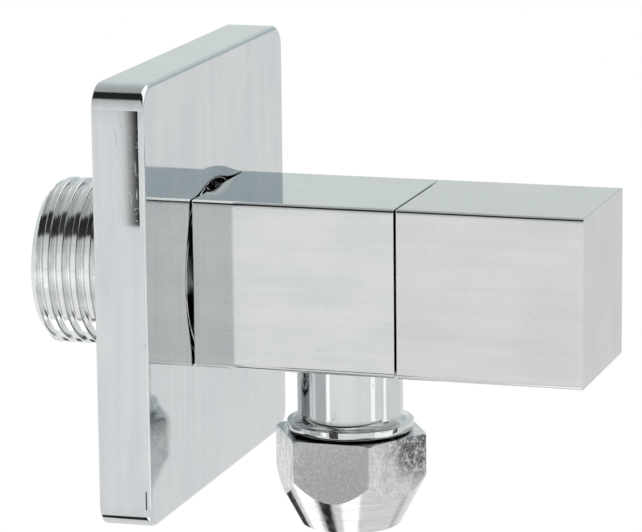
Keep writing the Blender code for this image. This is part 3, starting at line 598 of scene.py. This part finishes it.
def wall_flange():
    """A square cup open to the wall, dished round its hole, with a sleeve behind the hole."""
    loops = []

    def square(inset, height):
        loops.append(square_loop(FLANGE_HALF - inset, FLANGE_CORNER - inset, height))

    def hole(radius, height):
        loops.append(matching_circle(radius, height))

    for inset, height in arc((FLANGE_RIM, FLANGE_RIM), FLANGE_RIM, 270, 180, 3):
        square(inset, height)
    shoulder = FLANGE_DEPTH - FLANGE_EDGE
    for inset, height in arc((FLANGE_EDGE, shoulder), FLANGE_EDGE, 180, 90, 8):
        square(inset, height)
    for across, down in arc((1, 0), 1, 90, 180, 14):
        hole(FLANGE_HOLE + DISH_WIDTH * across, FLANGE_DEPTH - DISH_DEPTH * (1 - down))
    ceiling = FLANGE_DEPTH - FLANGE_SKIN
    sleeve = FLANGE_HOLE + FLANGE_SKIN
    edge = 0.1 * MM
    hole(FLANGE_HOLE, FLANGE_SLEEVE_END + edge)
    hole(FLANGE_HOLE + edge, FLANGE_SLEEVE_END)
    hole(sleeve - edge, FLANGE_SLEEVE_END)
    hole(sleeve, FLANGE_SLEEVE_END + edge)
    hole(sleeve, ceiling - 3 * edge)
    hole(sleeve + 3 * edge, ceiling)
    fillet_centre = (FLANGE_SKIN + FLANGE_FILLET, ceiling - FLANGE_FILLET)
    for inset, height in arc(fillet_centre, FLANGE_FILLET, 90, 180, 4):
        square(inset, height)
    square(FLANGE_SKIN, FLANGE_RIM)
    square(FLANGE_SKIN - FLANGE_RIM, 0)
    shape = bmesh.new()
    skin(shape, loops, close=True)
    return smoothed(mesh_object("flange_shell", shape, VALVE_AXIS))


def grip_ring():
    outer, inner, edge = (RING_HIGH.x - RING_LOW.x) / 2, GRIP_RING_INNER, GRIP_RING_EDGE
    start, end = -RING_HIGH.y, -RING_LOW.y
    profile = arc((outer - edge, end - edge), edge, 90, 0, 4)
    profile += arc((outer - edge, start + edge), edge, 0, -90, 4)
    profile += arc((inner + edge, start + edge), edge, 270, 180, 4)
    profile += arc((inner + edge, end - edge), edge, 180, 90, 4)
    return smoothed(turned("grip_ring_rubber", VALVE_AXIS, profile, close=True))


def body_block():
    block = rounded_block("body_block", BODY_REAR, BODY_FRONT, BODY_EDGE)
    waterway = turned(
        "waterway",
        VALVE_AXIS,
        [
            (0, BODY_FRONT + MM),
            (HOUSING_SOCKET, BODY_FRONT + MM),
            (HOUSING_SOCKET, CHAMBER_END),
            (CHAMBER, CHAMBER_END),
            (CHAMBER, SEAT),
            (SEAT_BORE, SEAT),
            (SEAT_BORE, INLET_BORE_END),
            (INLET_BORE, INLET_BORE_END),
            (INLET_BORE, 0),
            (0, 0),
        ],
        facets=ROUND_HIDDEN,
    )
    socket = turned(
        "outlet_socket",
        OUTLET_AXIS,
        [
            (0, BLOCK_HALF + MM),
            (NIPPLE_SOCKET, BLOCK_HALF + MM),
            (NIPPLE_SOCKET, NIPPLE_SOCKET_START),
            (OUTLET_BORE, NIPPLE_SOCKET_START),
            (OUTLET_BORE, OUTLET_BORE_START),
            (0, OUTLET_BORE_START),
        ],
        facets=ROUND_HIDDEN,
    )
    return smoothed(combine(block, "DIFFERENCE", waterway, socket))


def inlet():
    """Threaded inlet with its bore: its front end stands on the body block."""
    start, end = -INLET_LENGTH, INLET_THREAD_END
    low, high = INLET_ROOT - INLET_CHAMFER, INLET_ROOT - RUN_OUT
    limit = chamfered(INLET_CREST, start, end, low, high)
    shape = bmesh.new()
    helix(shape, INLET_PITCH, (INLET_ROOT, INLET_CREST), INLET_SHARES, (start, end), limit)
    spun(shape, [(high, end), (high, BODY_REAR), (INLET_BORE, BODY_REAR)])
    bore = [(INLET_BORE, BODY_REAR), (INLET_BORE, start + INLET_LIP)]
    spun(shape, [*bore, (INLET_BORE + INLET_LIP, start), (low, start)])
    return smoothed(mesh_object("inlet_thread", shape, VALVE_AXIS))


def handle():
    knob = rounded_block("handle_block", HANDLE_REAR, HANDLE_END, HANDLE_EDGE)
    hollow = turned(
        "handle_hollow",
        VALVE_AXIS,
        [
            (0, HANDLE_BORE_END),
            (HANDLE_BORE, HANDLE_BORE_END),
            (HANDLE_BORE, HANDLE_CAVITY_END),
            (HANDLE_CAVITY, HANDLE_CAVITY_END),
            (HANDLE_CAVITY, HANDLE_REAR - MM),
            (0, HANDLE_REAR - MM),
        ],
        facets=ROUND_HIDDEN,
    )
    below = Matrix.Translation((0, -SCREW_AT, AXIS_Z)) @ Matrix.Rotation(math.pi, 4, "X")
    hole = turned(
        "screw_hole",
        below,
        [
            (0, BLOCK_HALF + MM),
            (SCREW_HOLE + SCREW_HOLE_RIM, BLOCK_HALF + MM),
            (SCREW_HOLE + SCREW_HOLE_RIM, BLOCK_HALF),
            (SCREW_HOLE, BLOCK_HALF - SCREW_HOLE_RIM),
            (SCREW_HOLE, HANDLE_BORE - MM),
            (0, HANDLE_BORE - MM),
        ],
        facets=64,
    )
    return smoothed(combine(knob, "DIFFERENCE", hollow, hole))


def nipple():
    """Stub in the body, neck that flares to a collar, and a threaded end with the tube's socket."""
    flare = NIPPLE_COLLAR - NIPPLE_NECK
    root = NIPPLE_ROOT - RUN_OUT
    start, end = NIPPLE_THREAD_START, NIPPLE_END
    collar = (NIPPLE_COLLAR - COLLAR_EDGE, COLLAR_END - COLLAR_EDGE)
    profile = [(NIPPLE_NECK, NIPPLE_SHOULDER)]
    profile += arc((NIPPLE_COLLAR, COLLAR_START - flare), flare, 180, 90, 10)
    profile += arc(collar, COLLAR_EDGE, 0, 90, 4)
    profile += [(root, COLLAR_END), (root, start)]
    shape = bmesh.new()
    spun(shape, profile)
    limit = chamfered(NIPPLE_CREST, start, end, root, root)
    helix(shape, NIPPLE_PITCH, (NIPPLE_ROOT, NIPPLE_CREST), NIPPLE_SHARES, (start, end), limit)
    inside = [
        (root, end),
        (NIPPLE_MOUTH, end),
        (TUBE_SOCKET, end - NIPPLE_MOUTH_DEPTH),
        (TUBE_SOCKET, TUBE_SOCKET_START),
        (NIPPLE_BORE, TUBE_SOCKET_START),
        (NIPPLE_BORE, NIPPLE_TOP),
        (NIPPLE_STUB, NIPPLE_TOP),
        (NIPPLE_STUB, NIPPLE_SHOULDER),
        (NIPPLE_NECK, NIPPLE_SHOULDER),
    ]
    spun(shape, inside)
    return smoothed(mesh_object("outlet_tail", shape, OUTLET_AXIS))


def olive():
    profile = [(OLIVE_RIM, OLIVE_START)]
    for share in (i / 8 for i in range(1, 8)):
        swell = OLIVE_SWELL * math.sin(math.pi * share) ** 0.6
        profile.append((OLIVE_RIM + swell, OLIVE_START + (OLIVE_END - OLIVE_START) * share))
    profile += [(OLIVE_RIM, OLIVE_END), (OLIVE_INNER, OLIVE_END), (OLIVE_INNER, OLIVE_START)]
    return smoothed(turned("olive_ring", OUTLET_AXIS, profile, close=True))


def nut():
    """Hexagon turned to a taper below, chamfered above, with its thread, relief and seat cone."""
    shape = bmesh.new()
    corners = [math.radians(90 + 60 * i) for i in range(6)]
    ring = [(NUT_CORNER * math.cos(a), NUT_CORNER * math.sin(a)) for a in corners]
    rows = skin(shape, [[(x, y, NUT_START) for x, y in ring], [(x, y, NUT_END) for x, y in ring]])
    shape.faces.new(rows[0])
    shape.faces.new(rows[1])
    upright = [e for e in shape.edges if abs(e.verts[0].co.z - e.verts[1].co.z) > MM]
    bmesh.ops.bevel(shape, geom=upright, offset=NUT_EDGE, segments=3, profile=0.5, affect="EDGES")
    hexagon = mesh_object("nut_hexagon", shape, OUTLET_AXIS)
    reach = NUT_CORNER + 0.4 * MM
    outline = turned(
        "nut_outline",
        OUTLET_AXIS,
        [
            (0, NUT_END),
            (NUT_TIP - 0.25 * MM, NUT_END),
            (NUT_TIP - 0.08 * MM, NUT_END - 0.08 * MM),
            (NUT_TIP + 0.10 * MM, NUT_END - 0.40 * MM),
            (reach, NUT_END - (reach - NUT_TIP) / NUT_TAPER),
            (reach, NUT_START + NUT_TOP_CHAMFER * 0.6),
            (reach - NUT_TOP_CHAMFER, NUT_START),
            (0, NUT_START),
        ],
        facets=180,
    )
    combine(hexagon, "INTERSECT", outline)
    crest = NIPPLE_CREST + THREAD_GAP
    start, end = NUT_START + NUT_ENTRY, NUT_THREAD_END
    above = NUT_START - MM
    shape = bmesh.new()
    mouth = [(0, above), (NUT_MINOR + NUT_ENTRY, above), (NUT_MINOR + NUT_ENTRY, NUT_START)]
    spun(shape, [*mouth, (NUT_MINOR, start)], facets=ROUND_HIDDEN)
    limit = chamfered(crest, start, end, NUT_MINOR, NUT_MINOR)
    radii, span, origin = (NUT_MINOR, crest), (start, end), NIPPLE_THREAD_START
    helix(shape, NIPPLE_PITCH, radii, NUT_SHARES, span, limit, origin, ROUND_HIDDEN)
    profile = [
        (NUT_MINOR, end),
        (NUT_RELIEF, end),
        (NUT_RELIEF, NUT_CONE_START - 0.4 * MM),
        (NUT_CONE_TOP, NUT_CONE_START),
        (TUBE_HOLE, NUT_CONE_END),
        (TUBE_HOLE, NUT_END - 0.2 * MM),
        (TUBE_HOLE + TUBE_HOLE_CHAMFER, NUT_END + 0.05 * MM),
        (TUBE_HOLE + TUBE_HOLE_CHAMFER, NUT_END + MM),
        (0, NUT_END + MM),
    ]
    spun(shape, profile, facets=ROUND_HIDDEN)
    bore = mesh_object("nut_bore", shape, OUTLET_AXIS)
    combine(hexagon, "DIFFERENCE", bore)
    hexagon.name = "nut_hex"
    return smoothed(hexagon, 22)


fitted(wall_flange(), "flange", ["wall_flange"], CHROME_FLANGE)
fitted(grip_ring(), "grip_ring", ["flange_grip_ring"], RUBBER)
fitted(body_block(), "valve", ["valve_body"], CHROME_BODY)
# The inlet takes the lighter chrome: painted light on the thread.
fitted(inlet(), "valve", ["valve_body"], CHROME_INLET_PAINTED_LIGHT)
knob = fitted(handle(), "handle", ["handle"], CHROME_HANDLE)
# The end face, facing the room, takes the darker chrome: painted shade.
knob.data.materials.append(CHROME_END_PAINTED_SHADE)
for face in knob.data.polygons:
    if face.normal.y < -0.999:
        face.material_index = 1
fitted(nipple(), "valve", ["outlet_nipple"], CHROME_NIPPLE)
fitted(olive(), "olive", ["olive"], BRASS_OLIVE)
hexagon = fitted(nut(), "nut", ["compression_nut"], NUT_TURNED)
hexagon.data.materials.append(NUT_FLATS)
for face in hexagon.data.polygons:
    from_axis = math.hypot(face.center.x, face.center.y - OUTLET_Y)
    if abs(face.normal.z) < 0.05 and from_axis > NUT_RELIEF + 0.3 * MM:
        face.material_index = 1

CARRIED = {
    "seat_seal": RUBBER,
    "fixed_disc": WHITE_CERAMIC,
    "moving_disc": GREY_CERAMIC,
    "spindle": BRASS_ALONG_Y,
    "slip_washer": NYLON,
    "spindle_o_ring_inner": RUBBER,
    "spindle_o_ring_outer": RUBBER,
    "cartridge_housing": BRASS_ALONG_Y,
    "housing_gasket": FIBRE,
    "spindle_circlip": STEEL,
    "spline_adaptor": NYLON,
    "handle_set_screw": STEEL,
}
for node_name, finish in CARRIED.items():
    for material_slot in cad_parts[node_name].material_slots:
        material_slot.material = finish


# Floor, surroundings and light

FLOOR_Z = -0.12


def mirrored_card(name, corners, levels, across=None):
    """A card that only mirrors in front of it see: a dark flag or a light strip. levels are its
    brightness or, with across, its brightness at the low and high ends along that axis."""
    shape = bmesh.new()
    for quad in corners:
        shape.faces.new([shape.verts.new(corner) for corner in quad])
    card = linked(name, shape)
    material, net = new_material(name)
    strength = levels[0]
    if across:
        place = net.add("ShaderNodeTexCoord").outputs["Generated"]
        place = net.add("ShaderNodeSeparateXYZ", {0: place}).outputs["xyz".index(across)]
        strength = net.between(place, 0.35, 1, *levels)
    lit = net.add("ShaderNodeEmission", {"Color": (1, 1, 1, 1), "Strength": strength})
    clear = net.add("ShaderNodeBsdfTransparent")
    behind = net.add("ShaderNodeNewGeometry").outputs["Backfacing"]
    shader = net.add("ShaderNodeMixShader", {0: behind, 1: lit.outputs[0], 2: clear.outputs[0]})
    out = net.add("ShaderNodeOutputMaterial")
    net.tree.links.new(shader.outputs[0], out.inputs[0])
    card.data.materials.append(material)
    card.visible_camera = False
    card.visible_diffuse = False
    card.visible_shadow = False


# Camera: degrees for the angles, and its shift across and up in its own picture plane
CAMERA_AZIMUTH = -72.77
CAMERA_ELEVATION = 11.825
CAMERA_ROLL = -0.597
CAMERA_AIM = (0, -35 * MM, AXIS_Z)
CAMERA_DISTANCE = 480.043 * MM
CAMERA_SHIFT = (-14.496 * MM, 1.585 * MM)
CAMERA_LENS = 218.8721


def round_the_outlet(turn, radius, height):
    """A point at a turn in degrees to the right of the viewer's side, seen from the outlet."""
    angle = math.radians(CAMERA_AZIMUTH - 90 + turn)
    return (radius * math.cos(angle), OUTLET_Y + radius * math.sin(angle), height)


def bent_card(name, turns, inner, outer, levels):
    """A card between two (radius, height) rims that bends round the outlet's axis."""
    quads = []
    for i in range(6):
        a, b = (turns[0] + (turns[1] - turns[0]) * step / 6 for step in (i, i + 1))
        rims = [round_the_outlet(a, *outer), round_the_outlet(b, *outer)]
        rims += [round_the_outlet(b, *inner), round_the_outlet(a, *inner)]
        quads.append(rims)
    mirrored_card(name, quads, levels)


def upright_card(name, start, end, heights, levels, across=None):
    """A flat card over a line in plan from start to end, between two heights, in millimetres."""
    (x, y), (far_x, far_y), (low, high) = start, end, heights
    corners = [(x, y, low), (far_x, far_y, low), (far_x, far_y, high), (x, y, high)]
    quad = [tuple(value * MM for value in corner) for corner in corners]
    mirrored_card(name, [quad], levels, across)


def cards():
    upright_card("flag_by_the_flange", (-73.2, 9.2), (-73.2, 13.2), (27, 49.5), (0.0, 0.95), "y")
    upright_card("flag_by_the_nut", (-64, -18), (-64, 1.5), (-22, -6), (0.08,))
    upright_card("flag_by_the_handle", (16, -79), (4, -74), (-10, -4.2), (0.2, 0.0), "x")
    upright_card("strip_by_the_handle", (3.5, -73.8), (-24, -64), (-24, -4.2), (1.4,))
    upright_card("strip_by_the_flange", (-9, -6.6), (14, -6.6), (-6.5, 3.6), (1.08,))
    for i, (turns, level) in enumerate([((44, 54), 1.5), ((76, 83), 1.5), ((-53, -46), 1.6)]):
        bent_card(f"upright_card_{i}", turns, (0.3, -0.11), (0.3, 0.02), (level,))
    below = FLOOR_Z + 0.001
    sectors = [
        ((-85, -57), 0.040, 0.095, 0.02),
        ((-125, -92), 0.080, 0.140, 1.7),
        ((-165, -138), 0.150, 0.300, 0.05),
        ((-30, 25), 0.025, 0.075, 1.7),
        ((122, 136), 0.110, 0.190, 0.7),
    ]
    for i, (turns, inner, outer, level) in enumerate(sectors):
        bent_card(f"low_card_{i}", turns, (inner, below), (outer, below), (level,))


def floor():
    shape = bmesh.new()
    rings = [circle(radius, FLOOR_Z, 64) for radius in (0.001, 0.3, 1.0, 3.0, 9.0)]
    rows = skin(shape, rings)
    shape.faces.new(rows[0])
    plane = linked("floor", shape)
    material, net = new_material("floor_paper")
    where = net.add("ShaderNodeTexCoord").outputs["Object"]
    fibres = net.noise(where, 60.0, 4.0, 0.6)
    colour = net.mix(fibres, (0.88, 0.885, 0.89, 1), (0.91, 0.912, 0.915, 1))
    paper = net.add("ShaderNodeBsdfDiffuse", {"Color": colour})
    glow = net.add("ShaderNodeEmission", {"Color": (1, 1, 1, 1), "Strength": 1.03})
    seen = net.add("ShaderNodeLightPath").outputs["Is Camera Ray"]
    share = net.math("MULTIPLY", seen, 0.75)
    blend = net.add("ShaderNodeMixShader", {0: share, 1: paper.outputs[0], 2: glow.outputs[0]})
    out = net.add("ShaderNodeOutputMaterial")
    net.tree.links.new(blend.outputs[0], out.inputs[0])
    plane.data.materials.append(material)


def surroundings():
    """A white studio. Mirrors see a bright left wall, a darker ceiling and a grey far side."""
    world = bpy.data.worlds.new("studio")
    bpy.context.scene.world = world
    world.use_nodes = True
    net = Net(world.node_tree)
    direction = net.add("ShaderNodeTexCoord").outputs["Generated"]
    split = net.add("ShaderNodeSeparateXYZ", {0: direction})
    x, y, z = split.outputs
    rise = net.math("ARCTAN2", z, net.math("MULTIPLY", x, -1.0))
    rise = net.math("MULTIPLY", rise, 180 / math.pi)
    ramp = net.add("ShaderNodeValToRGB")
    net.tree.links.new(net.math("DIVIDE", rise, 180.0), ramp.inputs[0])
    stops = [
        (0, 1.04),
        (10, 0.9),
        (34, 0.72),
        (42, 0.6),
        (48, 0.03),
        (78, 0.02),
        (84, 0.5),
        (112, 0.7),
        (145, 0.96),
        (180, 0.96),
    ]
    elements = ramp.color_ramp.elements
    while len(elements) < len(stops):
        elements.new(0.5)
    for element, (angle, level) in zip(elements, stops):
        element.position = angle / 180
        element.color = (level / 2, level / 2, level / 2, 1)
    # A darker, bluer patch low on the far side towards the room, and a bright panel overhead.
    near = net.vector_math("DOT_PRODUCT", direction, (0.935, -0.290, 0.205)).outputs["Value"]
    patch = net.between(near, 0.976, 0.992)
    tint = net.mix(patch, (1.58, 1.70, 1.69, 1), (1.20, 1.36, 1.45, 1))
    tint = net.mix(net.between(x, -0.3, 0.5), (2.0, 2.02, 2.03, 1), tint)
    wide = net.vector_math("MULTIPLY", ramp.outputs[0], tint).outputs[0]
    panel = net.math("MULTIPLY", net.between(rise, 74, 84), net.between(rise, 152, 138))
    panel = net.math("MULTIPLY", panel, net.between(y, 0.05, -0.15))
    bright = net.mix(panel, wide, (1.6, 1.6, 1.6, 1))
    mirrored = net.add("ShaderNodeLightPath").outputs["Is Glossy Ray"]
    colour = net.mix(mirrored, (1, 1, 1, 1), bright)
    background = net.add("ShaderNodeBackground", {"Color": colour, "Strength": 1.0})
    out = net.add("ShaderNodeOutputWorld")
    net.tree.links.new(background.outputs[0], out.inputs[0])


def area_light(name, place, aim, size, power):
    light = bpy.data.lights.new(name, "AREA")
    light.shape = "RECTANGLE"
    light.size, light.size_y = size
    light.energy = power
    lamp = bpy.data.objects.new(name, light)
    lamp.location = place
    lamp.rotation_mode = "QUATERNION"
    lamp.rotation_quaternion = (Vector(aim) - Vector(place)).to_track_quat("-Z", "Y")
    lamp.visible_glossy = False
    bpy.context.scene.collection.objects.link(lamp)


def camera():
    """Right of and above the valve's near side, with a long lens and a slight roll."""
    angles = (CAMERA_AZIMUTH, CAMERA_ELEVATION, CAMERA_ROLL)
    azimuth, elevation, roll = (math.radians(angle) for angle in angles)
    across, rise = CAMERA_SHIFT
    flat = math.cos(elevation)
    back = Vector((math.sin(azimuth) * flat, -math.cos(azimuth) * flat, math.sin(elevation)))
    level_right = (-back).cross(Vector((0, 0, 1))).normalized()
    level_up = level_right.cross(-back)
    right = level_right * math.cos(roll) + level_up * math.sin(roll)
    up = level_up * math.cos(roll) - level_right * math.sin(roll)
    target = Vector(CAMERA_AIM) + right * across + up * rise
    data = bpy.data.cameras.new("camera")
    data.sensor_width = 36
    data.lens = CAMERA_LENS
    data.clip_start = 0.01
    data.clip_end = 50
    view = bpy.data.objects.new("camera", data)
    place = Matrix((right, up, back)).transposed().to_4x4()
    place.translation = target + back * CAMERA_DISTANCE
    view.matrix_world = place
    bpy.context.scene.collection.objects.link(view)
    bpy.context.scene.camera = view


floor()
surroundings()
cards()
area_light("softbox", (-0.9, -0.1, 0.8), (-0.5, 0.15, FLOOR_Z), (0.8, 0.8), 2.4)
camera()
bpy.context.scene.view_settings.view_transform = "Standard"
